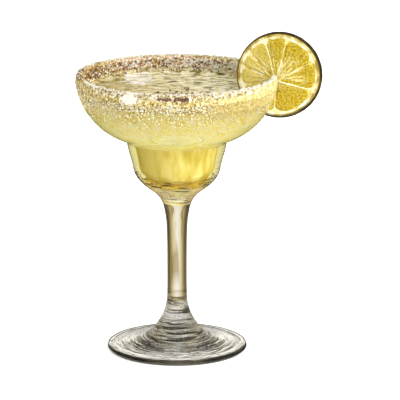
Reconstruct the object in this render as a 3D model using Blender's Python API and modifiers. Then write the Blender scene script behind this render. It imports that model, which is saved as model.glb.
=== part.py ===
"""A margarita in its stemmed glass: the glass, the drink, a salt crust on the rim and a lime wheel.

Metres, +Z up. The origin is the centre of the foot's underside, and the glass turns about Z.
The lime wheel sits on the rim on the +X side, with its slit over the wall.
Run with: blender --background --python part.py
"""
import math
import random

import bmesh
import bpy
from mathutils import Euler, Matrix, Vector, noise

MM = 0.001

# Heights and radii of the glass
GLASS_HEIGHT = 165 * MM
BOWL_RADIUS = 58.3 * MM
BOWL_WIDEST_Z = 162 * MM
BOWL_DEPTH = 42 * MM
BOWL_LOWEST_Z = 137 * MM
BULB_TOP = (29.4 * MM, 125.5 * MM)
BULB_WAIST = (25.8 * MM, 110.5 * MM)
STEM_TOP = (13 * MM, 95.2 * MM)
STEM_NECK = (6.4 * MM, 78 * MM)
STEM_FOOT = (6 * MM, 32 * MM)
FLARE_END = (17.5 * MM, 8.2 * MM)
FOOT_RADIUS = 41.5 * MM
FOOT_EDGE = 3.6 * MM

# Walls of the glass
RIM_WALL = 2 * MM
LIP_RADIUS = RIM_WALL / 2
BULB_MOUTH = (23.6 * MM, 127 * MM)
BULB_SIDE = (20.6 * MM, 111 * MM)
BULB_FLOOR_Z = 100.5 * MM

# Drink, and the gap that touching pieces keep
DRINK_LEVEL = 155.5 * MM
MENISCUS = 0.9 * MM
GAP = 0.3 * MM
TURN_STEPS = 52
BOWL_BANDS = 7

# Salt crust over the rim
SALT_OUTER_REACH = 5.5 * MM
SALT_INNER_REACH = 6 * MM
SALT_CORE = 0.65 * MM
SALT_RAGGED = 1.3 * MM
SALT_CROWN_ROUGH = 0.25 * MM
SALT_GRAINS = 84
SALT_GRAIN = (0.7 * MM, 1.3 * MM)
SALT_GRAIN_PROUD = 0.2 * MM
SALT_EDGE_CLEAR = 1.8 * MM
SALT_GRAINS_FROM = math.radians(8.5)
SALT_OPENING = (20 * MM, 40 * MM)
SALT_SIDE_ROOM = 1 * MM
SALT_SEED = 7

# Lime wheel
LIME_RADIUS = 25.3 * MM
LIME_FACE_RADIUS = 24 * MM
LIME_THICKNESS = 6 * MM
LIME_CENTRE = Vector((59.9 * MM, 0, 165.6 * MM))
LIME_TURN = math.radians(-9)
LIME_LEAN = math.radians(7)
LIME_STEPS = 52
FLESH_RADIUS = 21.4 * MM
FLESH_PROUD = 0.4 * MM
FLESH_ROUND = 0.3 * MM
FLESH_CORNER = 2.6 * MM
LIME_CORE = Vector((-0.9 * MM, -3.3 * MM))
MEMBRANE = 0.7 * MM
MEMBRANE_ANGLES = [math.radians(a) for a in (30, 78, 108, 136, 158, 188, 226, 266, 347)]


def clear_scene():
    """Empties the file, so that only the model is left."""
    for obj in list(bpy.data.objects):
        bpy.data.objects.remove(obj, do_unlink=True)


def new_collection(name):
    collection = bpy.data.collections.new(name)
    bpy.context.scene.collection.children.link(collection)
    return collection


def new_material(name, rgb, roughness, alpha=1.0, transmission=0.0):
    """A Principled BSDF for one piece, which is not metal."""
    material = bpy.data.materials.new(name)
    material.use_nodes = True
    shader = material.node_tree.nodes["Principled BSDF"]
    shader.inputs["Base Color"].default_value = (*rgb, 1)
    shader.inputs["Roughness"].default_value = roughness
    shader.inputs["Metallic"].default_value = 0
    shader.inputs["Transmission Weight"].default_value = transmission
    material.diffuse_color = (*rgb, alpha)
    return material


def bezier(start, start_hand, end_hand, end, steps):
    """Points of a cubic Bezier curve after its start, as (radius, height) pairs."""
    points = []
    for step in range(1, steps + 1):
        t = step / steps
        u = 1 - t
        weights = (u**3, 3 * u * u * t, 3 * u * t * t, t**3)
        knots = (start, start_hand, end_hand, end)
        points.append(tuple(sum(w * k[axis] for w, k in zip(weights, knots)) for axis in (0, 1)))
    return points


def hand(knot, radius_mm, height_mm):
    """A Bezier handle placed so far out and so far up from its knot."""
    return knot[0] + radius_mm * MM, knot[1] + height_mm * MM


def bowl_arc(inset, top_z, low_z, steps):
    """The bowl's side as part of an ellipse, top to bottom, set in from the outer face by inset."""
    radius = BOWL_RADIUS - inset
    depth = BOWL_DEPTH - inset
    start = math.asin((BOWL_WIDEST_Z - top_z) / depth)
    end = math.asin((BOWL_WIDEST_Z - low_z) / depth)
    points = []
    for step in range(steps + 1):
        angle = start + (end - start) * step / steps
        points.append((radius * math.cos(angle), BOWL_WIDEST_Z - depth * math.sin(angle)))
    return points


def lip_arc(steps=3):
    """The rounded lip from the outer face over to the inner one, without its ends."""
    top_z = GLASS_HEIGHT - LIP_RADIUS
    middle = bowl_arc(LIP_RADIUS, top_z, top_z - MM, 1)[0][0]
    points = []
    for step in range(1, steps):
        angle = math.pi * step / steps
        points.append((middle + LIP_RADIUS * math.cos(angle), top_z + LIP_RADIUS * math.sin(angle)))
    return points


def outer_face():
    """The outside of the glass from the lip down to where the stem flares into the foot."""
    points = bowl_arc(0, GLASS_HEIGHT - LIP_RADIUS, BOWL_LOWEST_Z, BOWL_BANDS)
    bowl_end = points[-1]
    points += bezier(bowl_end, hand(bowl_end, -8.6, -8.3), hand(BULB_TOP, 0.5, 3.2), BULB_TOP, 5)
    points += bezier(BULB_TOP, hand(BULB_TOP, -0.8, -6), hand(BULB_WAIST, 0.8, 5), BULB_WAIST, 2)
    points += bezier(BULB_WAIST, hand(BULB_WAIST, -1.2, -7.5), hand(STEM_TOP, 5.5, 4.1), STEM_TOP, 4)
    points += bezier(STEM_TOP, hand(STEM_TOP, -4.4, -4.2), hand(STEM_NECK, 1.2, 10), STEM_NECK, 3)
    points += bezier(STEM_NECK, hand(STEM_NECK, -0.7, -8), hand(STEM_FOOT, -0.2, 8), STEM_FOOT, 2)
    points += bezier(STEM_FOOT, hand(STEM_FOOT, 0.6, -10), hand(FLARE_END, -7, 7.8), FLARE_END, 4)
    return points


def foot_face():
    """The foot from the end of the flare, round its edge and under the flat base to the axis."""
    edge_round = FOOT_EDGE / 2
    edge_centre = FOOT_RADIUS - edge_round
    points = bezier(FLARE_END, hand(FLARE_END, 5, -2.6), (edge_centre - 10 * MM, FOOT_EDGE + 0.7 * MM),
                    (edge_centre, FOOT_EDGE), 2)
    for step in range(1, 5):
        angle = math.pi / 2 - math.pi * step / 4
        points.append((edge_centre + edge_round * math.cos(angle), edge_round + edge_round * math.sin(angle)))
    return points + [(0, 0)]


def inner_face(clearance=0.0):
    """The inside of the glass from the lip down to the axis, held in by a clearance."""
    top_z = GLASS_HEIGHT - LIP_RADIUS
    points = bowl_arc(RIM_WALL + clearance, top_z, BOWL_LOWEST_Z + 1.5 * MM, BOWL_BANDS)
    bowl_end = points[-1]
    mouth = (BULB_MOUTH[0] - clearance, BULB_MOUTH[1])
    side = (BULB_SIDE[0] - clearance, BULB_SIDE[1])
    floor_z = BULB_FLOOR_Z + clearance
    points += bezier(bowl_end, hand(bowl_end, -8.8, -8.4), hand(mouth, 0.6, 4), mouth, 4)
    points += bezier(mouth, hand(mouth, -0.8, -5.5), hand(side, 0.5, 5), side, 2)
    points += bezier(side, hand(side, -0.9, -7.5), (9 * MM, floor_z), (0, floor_z), 4)
    return points


def turned(name, profile, steps, closed=False):
    """A solid turned about Z from a profile at +X that runs down its outer side."""
    mesh = bpy.data.meshes.new(name)
    edges = [(i, i + 1) for i in range(len(profile) - 1)]
    if closed:
        edges.append((len(profile) - 1, 0))
    mesh.from_pydata([(radius, 0, height) for radius, height in profile], edges, [])
    obj = bpy.data.objects.new(name, mesh)
    screw = obj.modifiers.new("Turn", "SCREW")
    screw.steps = screw.render_steps = steps
    screw.use_merge_vertices = True
    screw.merge_threshold = 0.00001
    return obj


def as_mesh(obj, name, collection):
    """Makes an object's evaluated shape a plain mesh object, and removes the first one."""
    bpy.context.view_layer.update()
    graph = bpy.context.evaluated_depsgraph_get()
    mesh = bpy.data.meshes.new_from_object(obj.evaluated_get(graph))
    matrix = obj.matrix_world.copy()
    bpy.data.objects.remove(obj, do_unlink=True)
    mesh.name = name
    shape = bmesh.new()
    shape.from_mesh(mesh)
    bmesh.ops.remove_doubles(shape, verts=shape.verts, dist=0.000001)
    shape.to_mesh(mesh)
    shape.free()
    made = bpy.data.objects.new(name, mesh)
    made.matrix_world = matrix
    collection.objects.link(made)
    return made


def boolean(obj, operation, other):
    """Adds a Boolean with one object or with a whole collection."""
    modifier = obj.modifiers.new(operation.title(), "BOOLEAN")
    modifier.operation = operation
    modifier.solver = "EXACT"
    if isinstance(other, bpy.types.Collection):
        modifier.operand_type = "COLLECTION"
        modifier.collection = other
    else:
        modifier.object = other
    return modifier


def as_cutter(obj):
    obj.hide_render = True
    obj.display_type = "WIRE"
    return obj


def make_glass(parts):
    """Blown soda glass in one piece: bowl, bulb, stem and foot."""
    inside = inner_face()
    profile = inside[::-1] + lip_arc()[::-1] + outer_face() + foot_face()
    glass = turned("margarita_glass", profile, TURN_STEPS)
    parts.objects.link(glass)
    glass.data.materials.append(new_material("clear_glass", (0.86, 0.87, 0.84), 0.02, 0.35, 1.0))
    return glass


def lime_frame():
    """Takes the wheel's own axes, with its face towards +Z, to its place on the rim."""
    facing = Euler((math.pi / 2 - LIME_LEAN, 0, LIME_TURN)).to_matrix().to_4x4()
    return Matrix.Translation(LIME_CENTRE) @ facing


def flesh_reach(angle):
    """How far the flesh goes from the core in one direction, as the core is off the wheel's centre."""
    towards = LIME_CORE.x * math.cos(angle) + LIME_CORE.y * math.sin(angle)
    return math.sqrt(FLESH_RADIUS**2 - LIME_CORE.length_squared + towards**2) - towards


def segment_outline(start, end):
    """One segment of flesh as a wedge with rounded outer corners, as points round its edge."""
    middle = (start + end) / 2
    half_angle = (end - start) / 2
    tip = (2 * FLESH_ROUND + MEMBRANE / 2) / half_angle
    tip_room = 2 * FLESH_ROUND / tip
    points = [(tip, middle - tip_room)]
    for across in (-1, -0.9, -0.7, -0.35, 0, 0.35, 0.7, 0.9, 1):
        reach = flesh_reach(middle + half_angle * across) - FLESH_CORNER * abs(across)**5
        room = half_angle - MEMBRANE / 2 / reach
        points.append((reach, middle + room * across))
    points.append((tip, middle + tip_room))
    return [(LIME_CORE.x + reach * math.cos(angle), LIME_CORE.y + reach * math.sin(angle))
            for reach, angle in points]


def segment_pillow(name, start, end, collection):
    """The flesh between two membranes, a little proud of both faces of the wheel."""
    curve = bpy.data.curves.new(name, "CURVE")
    curve.dimensions = "2D"
    curve.fill_mode = "BOTH"
    curve.bevel_depth = FLESH_ROUND
    curve.bevel_resolution = 0
    curve.offset = -FLESH_ROUND
    curve.extrude = LIME_THICKNESS / 2 + FLESH_PROUD - FLESH_ROUND
    outline = segment_outline(start, end)
    spline = curve.splines.new("POLY")
    spline.points.add(len(outline) - 1)
    for point, (x, y) in zip(spline.points, outline):
        point.co = (x, y, 0, 1)
    spline.use_cyclic_u = True
    obj = bpy.data.objects.new(name, curve)
    collection.objects.link(obj)
    obj.matrix_world = lime_frame()
    return as_mesh(obj, name, collection)


def wheel_profile(face_radius, full_radius, thickness):
    """A thick slice of a round fruit, from its front face over the rind to its back face."""
    half = thickness / 2
    points = [(0, half), (face_radius, half)]
    for along in (0.3, 0.6, 0.85):
        bulge = face_radius + (full_radius - face_radius) * math.sin(along * math.pi / 2)
        points.append((bulge, half - thickness * along))
    points += [(full_radius - 0.4 * MM, -half), (0, -half)]
    return points


def make_wall_cutter(cutters):
    """The bowl's wall with a gap round it, which makes the slit that the wheel hangs by."""
    top_z = GLASS_HEIGHT - LIP_RADIUS
    lowest = BOWL_LOWEST_Z - 1 * MM
    outside = bowl_arc(-GAP, top_z, lowest, BOWL_BANDS)
    inside = bowl_arc(RIM_WALL + GAP, top_z, lowest, BOWL_BANDS)
    over = [(outside[0][0], GLASS_HEIGHT + GAP), (inside[0][0], GLASS_HEIGHT + GAP)]
    cutter = turned("wall_cutter", outside + inside[::-1] + over[::-1], TURN_STEPS, closed=True)
    cutters.objects.link(cutter)
    return as_cutter(cutter)


def make_lime(parts, cutters):
    """One wheel of lime: rind, pith and nine segments in one piece, slit from its centre down."""
    blank = turned("lime_blank", wheel_profile(LIME_FACE_RADIUS, LIME_RADIUS, LIME_THICKNESS), LIME_STEPS)
    parts.objects.link(blank)
    blank.matrix_world = lime_frame()
    wheel = as_mesh(blank, "lime_wheel", parts)
    flesh = new_collection("lime_flesh")
    following = MEMBRANE_ANGLES[1:] + [MEMBRANE_ANGLES[0] + 2 * math.pi]
    for number, (start, end) in enumerate(zip(MEMBRANE_ANGLES, following)):
        segment_pillow(f"flesh_{number}", start, end, flesh)
    boolean(wheel, "UNION", flesh)
    fused = as_mesh(wheel, "lime_wheel", parts)
    for segment in list(flesh.objects):
        bpy.data.objects.remove(segment, do_unlink=True)
    bpy.data.collections.remove(flesh)
    boolean(fused, "DIFFERENCE", make_wall_cutter(cutters))
    fused.data.materials.append(new_material("lime_fruit", (0.62, 0.52, 0.09), 0.35))
    return fused


def make_drink(parts, cutters):
    """The drink up to its level, with a meniscus at the wall and cut round the lime."""
    inside = [point for point in inner_face(GAP) if point[1] < DRINK_LEVEL - MENISCUS]
    edge = bowl_arc(RIM_WALL + GAP, DRINK_LEVEL + MENISCUS, DRINK_LEVEL, 1)
    surface = [(0, DRINK_LEVEL), (edge[0][0] - 4 * MM, DRINK_LEVEL),
               (edge[0][0] - 1.2 * MM, DRINK_LEVEL + 0.25 * MM)]
    drink = turned("margarita_drink", surface + edge + inside, TURN_STEPS)
    parts.objects.link(drink)
    clear = FLESH_PROUD + GAP
    room = wheel_profile(LIME_RADIUS + GAP, LIME_RADIUS + GAP + 0.1 * MM, LIME_THICKNESS + 2 * clear)
    cutter = turned("lime_cutter", room, LIME_STEPS)
    cutters.objects.link(cutter)
    cutter.matrix_world = lime_frame()
    boolean(drink, "DIFFERENCE", as_cutter(cutter))
    drink.data.materials.append(new_material("margarita_mix", (0.88, 0.74, 0.27), 0.15, 1.0, 0.4))
    return drink


def salt_profile():
    """The crust's section: down the outside, back up against the glass, over it and down the inside."""
    top_z = GLASS_HEIGHT - LIP_RADIUS
    low_out = GLASS_HEIGHT - SALT_OUTER_REACH
    low_in = GLASS_HEIGHT - SALT_INNER_REACH
    over = GLASS_HEIGHT + GAP
    outside = bowl_arc(-GAP - SALT_CORE, top_z, low_out, 3)
    against_out = bowl_arc(-GAP, top_z, low_out + 0.3 * MM, 2)[::-1]
    against_in = bowl_arc(RIM_WALL + GAP, top_z, low_in + 0.3 * MM, 2)
    inside = bowl_arc(RIM_WALL + GAP + SALT_CORE, top_z, low_in, 2)[::-1]
    lip_in = (against_in[0][0] + LIP_RADIUS / 2, over)
    lip_out = (against_out[-1][0] - LIP_RADIUS / 2, over)
    crown = [(lip_in[0], over + SALT_CORE), (lip_out[0], over + SALT_CORE)]
    return outside + against_out + [lip_out, lip_in] + against_in + inside + crown


def roughen_crust(obj):
    """Gives the crust ragged lower edges and an uneven crown."""
    for vertex in obj.data.vertices:
        radius = math.hypot(vertex.co.x, vertex.co.y)
        if vertex.co.z < GLASS_HEIGHT - 0.6 * SALT_INNER_REACH:
            around = Vector((vertex.co.x, vertex.co.y, 0)) / (6 * MM)
            vertex.co.z += SALT_RAGGED * noise.noise(around + Vector((0, 0, 3 if radius < BOWL_RADIUS - MM else 9)))
        elif vertex.co.z > GLASS_HEIGHT + GAP + SALT_CORE / 2:
            vertex.co.z += SALT_CROWN_ROUGH * noise.noise(vertex.co / (3 * MM))


def salt_grain(name, place, size, turn, collection):
    """One coarse crystal of salt, a cube with unequal sides."""
    mesh = bpy.data.meshes.new(name)
    shape = bmesh.new()
    bmesh.ops.create_cube(shape, size=1)
    shape.to_mesh(mesh)
    shape.free()
    obj = bpy.data.objects.new(name, mesh)
    obj.matrix_world = Matrix.Translation(place) @ turn.to_matrix().to_4x4() @ Matrix.Diagonal((*size, 1))
    collection.objects.link(obj)
    return obj


def grain_place(draw):
    """A point on the crust's skin: outside, inside or on the lip, and never over the lime's gap."""
    angle = draw.uniform(SALT_GRAINS_FROM, 2 * math.pi - SALT_GRAINS_FROM)
    side = draw.random()
    skin = GAP + SALT_CORE + SALT_GRAIN_PROUD
    if side < 0.5:
        height = GLASS_HEIGHT - draw.uniform(0.5 * MM, SALT_OUTER_REACH - SALT_EDGE_CLEAR)
        radius = bowl_arc(-skin, height, height - MM, 1)[0][0]
    elif side < 0.75:
        height = GLASS_HEIGHT - draw.uniform(0.5 * MM, SALT_INNER_REACH - SALT_EDGE_CLEAR)
        radius = bowl_arc(RIM_WALL + skin, height, height - MM, 1)[0][0]
    else:
        height = GLASS_HEIGHT + skin
        radius = BOWL_RADIUS - LIP_RADIUS + draw.uniform(-1, 1) * LIP_RADIUS
    return Vector((radius * math.cos(angle), radius * math.sin(angle), height))


def make_salt(parts, cutters):
    """Coarse salt caked over the rim, open where the lime's slit sits."""
    band = turned("salt_band", salt_profile(), TURN_STEPS, closed=True)
    parts.objects.link(band)
    crust = as_mesh(band, "salt_rim", parts)
    roughen_crust(crust)
    grains = new_collection("salt_grains")
    draw = random.Random(SALT_SEED)
    for number in range(SALT_GRAINS):
        place = grain_place(draw)
        size = [draw.uniform(*SALT_GRAIN) for _ in range(3)]
        turn = Euler([draw.uniform(0, math.pi) for _ in range(3)])
        salt_grain(f"grain_{number}", place, size, turn, grains)
    boolean(crust, "UNION", grains)
    fused = as_mesh(crust, "salt_rim", parts)
    for grain in list(grains.objects):
        bpy.data.objects.remove(grain, do_unlink=True)
    bpy.data.collections.remove(grains)
    boolean(fused, "DIFFERENCE", make_gap_cutter(cutters))
    fused.data.materials.append(new_material("coarse_salt", (0.85, 0.8, 0.68), 0.6))
    return fused


def make_gap_cutter(cutters):
    """A block along the lime wheel, wider than it, which opens the crust there."""
    mesh = bpy.data.meshes.new("gap_cutter")
    shape = bmesh.new()
    bmesh.ops.create_cube(shape, size=1)
    shape.to_mesh(mesh)
    shape.free()
    obj = bpy.data.objects.new("gap_cutter", mesh)
    width = LIME_THICKNESS + 2 * (FLESH_PROUD + SALT_SIDE_ROOM)
    obj.matrix_world = lime_frame() @ Matrix.Diagonal((*SALT_OPENING, width, 1))
    cutters.objects.link(obj)
    return as_cutter(obj)


def main():
    clear_scene()
    parts = new_collection("margarita")
    cutters = new_collection("cutters")
    make_glass(parts)
    make_lime(parts, cutters)
    make_drink(parts, cutters)
    make_salt(parts, cutters)
    for obj in parts.objects:
        obj.data.shade_smooth()
        obj.data.set_sharp_from_angle(angle=math.radians(35))


main()
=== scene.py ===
"""The looks of a margarita: a blown glass, a cloudy lime drink, a salted rim and a wheel of lime.

Every size is in metres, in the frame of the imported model: the foot's underside is at z = 0 and the glass
turns about Z. The lime wheel hangs on the rim on the +X side.
"""
import math
from functools import partial

import bmesh
import bpy
import numpy as np
from mathutils import Euler, Matrix, Vector, noise


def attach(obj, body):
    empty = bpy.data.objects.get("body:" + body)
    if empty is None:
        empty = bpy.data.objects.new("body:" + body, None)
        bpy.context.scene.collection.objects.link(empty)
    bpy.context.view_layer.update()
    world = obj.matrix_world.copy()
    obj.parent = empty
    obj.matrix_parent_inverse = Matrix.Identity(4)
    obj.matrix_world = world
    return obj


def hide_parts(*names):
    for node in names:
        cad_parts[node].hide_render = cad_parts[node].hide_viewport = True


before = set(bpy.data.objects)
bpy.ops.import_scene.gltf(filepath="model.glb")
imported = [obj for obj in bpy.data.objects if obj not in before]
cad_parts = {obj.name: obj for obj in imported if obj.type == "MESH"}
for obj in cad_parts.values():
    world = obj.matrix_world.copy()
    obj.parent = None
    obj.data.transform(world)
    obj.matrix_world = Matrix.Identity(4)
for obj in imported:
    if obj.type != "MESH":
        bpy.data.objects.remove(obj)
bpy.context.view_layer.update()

MM = 0.001

# The glass, as in the solids
GLASS_HEIGHT = 165 * MM
BOWL_RADIUS = 58.3 * MM
BOWL_WIDEST_Z = 162 * MM
BOWL_DEPTH = 42 * MM
BOWL_LOWEST_Z = 137 * MM
BULB_TOP = (29.4 * MM, 125.5 * MM)
BULB_WAIST = (25.8 * MM, 110.5 * MM)
STEM_TOP = (13 * MM, 95.2 * MM)
STEM_NECK = (6.4 * MM, 78 * MM)
STEM_FOOT = (6 * MM, 32 * MM)
FLARE_END = (17.5 * MM, 8.2 * MM)
FOOT_RADIUS = 41.5 * MM
FOOT_EDGE = 3.6 * MM
FOOT_HOLLOW = 1.2 * MM
FOOT_RING = 39 * MM
RIM_WALL = 2 * MM
LIP_RADIUS = RIM_WALL / 2
BULB_MOUTH = (23.6 * MM, 127 * MM)
BULB_SIDE = (20.6 * MM, 111 * MM)
BULB_FLOOR_Z = 100.5 * MM
GLASS_PART_ENDS = (127 * MM, 101.5 * MM, 88.5 * MM, 30 * MM)
CORDS_FROM = 36 * MM
DARK_EDGE_FROM = 38.6 * MM
ROUND_STEPS = 160
FINE = 4

# The drink reaches a hair into the wall, so that no air shows between them
INTO_WALL = 0.06 * MM
DRINK_LEVEL = 155.5 * MM
MENISCUS = 0.9 * MM
FROTH_BOTTOM = 127.5 * MM
BACK_HIGHLIGHT_CENTRE = (-23 * MM, 38 * MM, 0)
SURFACE_RINGS = 46

# Salt
SALT_OUTER_REACH = 5.5 * MM
SALT_INNER_REACH = 6 * MM
SALT_CORE = 0.65 * MM
SALT_GAP = 0.3 * MM
SALT_SEED = 7
STAIN_FROM = math.radians(145)
FRONT_HIGHLIGHT_CENTRE = (-27 * MM, -52.4 * MM, 162.5 * MM)
LIP_SHADOW_ANGLES = (math.radians(-101), math.radians(-82))
LIP_SHADOW_Z = 163.7 * MM
LIME_GAP_ANGLE = math.radians(5.5)
CRUST_STEPS = 360
WALL_GRAINS = 4000
LIP_GRAINS = 2600
LIP_SHADOW_GRAINS = 34
FALLEN_GRAINS = 38
OUTER_DUST = 16000
INNER_DUST = 5200
COAT_DUST = 2600
COAT_HEIGHTS = (154 * MM, 160.5 * MM)

# Lime wheel
LIME_RADIUS = 25.3 * MM
LIME_FACE_RADIUS = 24 * MM
LIME_THICKNESS = 6 * MM
LIME_CENTRE = Vector((59.9 * MM, 0, 165.6 * MM))
LIME_TURN = math.radians(-9)
LIME_LEAN = math.radians(7)
FLESH_RADIUS = 21.4 * MM
FLESH_PROUD = 0.4 * MM
FLESH_CORNER = 2.6 * MM
LIME_CORE = Vector((-0.9 * MM, -3.3 * MM, 0))
HUB_RADIUS = 0.9 * MM
MEMBRANE = 0.7 * MM
FLESH_TIP = 0.6 * MM + MEMBRANE / 2
FLESH_ROWS = 46
FLESH_COLUMNS = 30
PITH_ROWS = 5
RIND_ROWS = 9
SLIT_GAP = 0.25 * MM
SLIT_BOTTOM_Z = 136 * MM
MEMBRANE_ANGLES = [math.radians(a) for a in (30, 78, 108, 136, 158, 188, 226, 266, 347)]


# Small helpers

COLOURS = {"data_type": "RGBA"}
TINT = {"data_type": "RGBA", "blend_type": "MULTIPLY"}
SMOOTH = {"interpolation_type": "SMOOTHSTEP"}


def tone(code):
    """An sRGB hex colour as linear RGBA."""
    parts = [int(code[i:i + 2], 16) / 255 for i in (1, 3, 5)]
    return [c / 12.92 if c <= 0.04045 else ((c + 0.055) / 1.055) ** 2.4 for c in parts] + [1.0]


def plug(node, **inputs):
    """Gives a node's inputs a value, or a link from a socket or from a node's first output in use.

    An input is named by its label with _ for a space, or as n0, n1 by its place."""
    for name, value in inputs.items():
        key = int(name[1:]) if name[0] == "n" and name[1:].isdigit() else name.replace("_", " ")
        if isinstance(value, bpy.types.Node):
            value = next(socket for socket in value.outputs if socket.enabled)
        if isinstance(value, bpy.types.NodeSocket):
            node.id_data.links.new(value, node.inputs[key])
        else:
            node.inputs[key].default_value = value


def add_node(tree, kind, settings=(), stops=(), **inputs):
    """Adds one shader node with its inputs.

    settings are its attributes, or the name of its operation. stops are a ramp's (place, colour) pairs."""
    node = tree.nodes.new("ShaderNode" + kind)
    if isinstance(settings, str):
        settings = {"operation": settings}
    for name, value in dict(settings).items():
        setattr(node, name, value)
    plug(node, **inputs)
    if stops:
        elements = node.color_ramp.elements
        while len(elements) < len(stops):
            elements.new(0.5)
        for element, (place, code) in zip(elements, stops):
            element.position = place
            element.color = tone(code)
    return node


def new_shading(name):
    """A new material, the function that adds nodes to it, and its Principled BSDF."""
    material = bpy.data.materials.new(name)
    material.use_nodes = True
    return material, partial(add_node, material.node_tree), material.node_tree.nodes["Principled BSDF"]


def from_axis(add, place):
    """A place without its height, and how far it is from the Z axis."""
    level = add("VectorMath", "MULTIPLY", n0=place, n1=(1.0, 1.0, 0.0))
    return level, add("VectorMath", "LENGTH", n0=level)


def smooth_mesh(name, shape):
    """The mesh of a finished shape, with its faces turned outwards and shaded smooth."""
    bmesh.ops.recalc_face_normals(shape, faces=shape.faces)
    for face in shape.faces:
        face.smooth = True
    mesh = bpy.data.meshes.new(name)
    shape.to_mesh(mesh)
    shape.free()
    return mesh


def new_piece(name, mesh, *materials):
    obj = bpy.data.objects.new(name, mesh)
    bpy.context.scene.collection.objects.link(obj)
    for material in materials:
        obj.data.materials.append(material)
    return obj


# Outlines of the glass, as (radius, height) pairs

def bezier(start, start_hand, end_hand, end, steps):
    points = []
    for step in range(1, steps + 1):
        t = step / steps
        u = 1 - t
        weights = (u**3, 3 * u * u * t, 3 * u * t * t, t**3)
        knots = (start, start_hand, end_hand, end)
        points.append(tuple(sum(w * k[axis] for w, k in zip(weights, knots)) for axis in (0, 1)))
    return points


def hand(knot, radius_mm, height_mm):
    return knot[0] + radius_mm * MM, knot[1] + height_mm * MM


def bowl_arc(inset, top_z, low_z, steps):
    """The bowl's side as part of an ellipse, top to bottom, set in from the outer face by inset."""
    radius = BOWL_RADIUS - inset
    depth = BOWL_DEPTH - inset
    start = math.asin((BOWL_WIDEST_Z - top_z) / depth)
    end = math.asin((BOWL_WIDEST_Z - low_z) / depth)
    angles = [start + (end - start) * step / steps for step in range(steps + 1)]
    return [(radius * math.cos(a), BOWL_WIDEST_Z - depth * math.sin(a)) for a in angles]


def outer_face():
    points = bowl_arc(0, GLASS_HEIGHT - LIP_RADIUS, BOWL_LOWEST_Z, 7 * FINE)
    end = points[-1]
    points += bezier(end, hand(end, -8.6, -8.3), hand(BULB_TOP, 0.5, 3.2), BULB_TOP, 5 * FINE)
    points += bezier(BULB_TOP, hand(BULB_TOP, -0.8, -6), hand(BULB_WAIST, 0.8, 5), BULB_WAIST, 2 * FINE)
    points += bezier(BULB_WAIST, hand(BULB_WAIST, -1.2, -7.5), hand(STEM_TOP, 5.5, 4.1), STEM_TOP, 4 * FINE)
    points += bezier(STEM_TOP, hand(STEM_TOP, -4.4, -4.2), hand(STEM_NECK, 1.2, 10), STEM_NECK, 3 * FINE)
    points += bezier(STEM_NECK, hand(STEM_NECK, -0.7, -8), hand(STEM_FOOT, -0.2, 8), STEM_FOOT, 2 * FINE)
    points += bezier(STEM_FOOT, hand(STEM_FOOT, 0.6, -10), hand(FLARE_END, -7, 7.8), FLARE_END, 4 * FINE)
    return points


def foot_face():
    """The foot's top, its rounded edge, and under it the ring it stands on and a shallow hollow."""
    half_edge = FOOT_EDGE / 2
    centre = FOOT_RADIUS - half_edge
    points = bezier(FLARE_END, hand(FLARE_END, 5, -2.6), (centre - 10 * MM, FOOT_EDGE + 0.7 * MM),
                    (centre, FOOT_EDGE), 3 * FINE)
    for step in range(1, 9):
        angle = math.pi / 2 - math.pi * step / 8
        points.append((centre + half_edge * math.cos(angle), half_edge + half_edge * math.sin(angle)))
    points.append((FOOT_RING, 0))
    points += bezier((FOOT_RING, 0), (FOOT_RING - 5 * MM, FOOT_HOLLOW), (FOOT_RING / 2, FOOT_HOLLOW),
                     (0, FOOT_HOLLOW), 3 * FINE)
    return points


def inner_face(inset=0.0):
    """The inside of the glass from the lip down to the axis, pushed into the wall by inset."""
    points = bowl_arc(RIM_WALL - inset, GLASS_HEIGHT - LIP_RADIUS, BOWL_LOWEST_Z + 1.5 * MM, 7 * FINE)
    end = points[-1]
    mouth = (BULB_MOUTH[0] + inset, BULB_MOUTH[1])
    side = (BULB_SIDE[0] + inset, BULB_SIDE[1])
    floor_z = BULB_FLOOR_Z - inset
    points += bezier(end, hand(end, -8.8, -8.4), hand(mouth, 0.6, 4), mouth, 4 * FINE)
    points += bezier(mouth, hand(mouth, -0.8, -5.5), hand(side, 0.5, 5), side, 2 * FINE)
    points += bezier(side, hand(side, -0.9, -7.5), (9 * MM, floor_z), (0, floor_z), 4 * FINE)
    return points


def lip_arc(steps=10):
    top_z = GLASS_HEIGHT - LIP_RADIUS
    middle = bowl_arc(LIP_RADIUS, top_z, top_z - MM, 1)[0][0]
    angles = [math.pi * step / steps for step in range(1, steps)]
    return [(middle + LIP_RADIUS * math.cos(a), top_z + LIP_RADIUS * math.sin(a)) for a in angles]


def radius_at(points, height):
    """How far out an outline is at a height, where it runs down from its top."""
    heights = [z for _, z in points][::-1]
    return float(np.interp(height, heights, [r for r, _ in points][::-1]))


def turned_mesh(name, profile, steps=ROUND_STEPS):
    """A smooth mesh turned about Z. Points on the axis become one vertex each."""
    shape = bmesh.new()
    rows = []
    for radius, height in profile:
        if radius < 1e-7:
            rows.append([shape.verts.new((0, 0, height))])
            continue
        angles = [2 * math.pi * step / steps for step in range(steps)]
        rows.append([shape.verts.new((radius * math.cos(a), radius * math.sin(a), height)) for a in angles])
    for upper, lower in zip(rows, rows[1:]):
        for step in range(steps):
            after = (step + 1) % steps
            corners = [upper[step % len(upper)], lower[step % len(lower)],
                       lower[after % len(lower)], upper[after % len(upper)]]
            kept = list(dict.fromkeys(corners))
            if len(kept) > 2:
                shape.faces.new(kept)
    return smooth_mesh(name, shape)


# Materials

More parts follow.
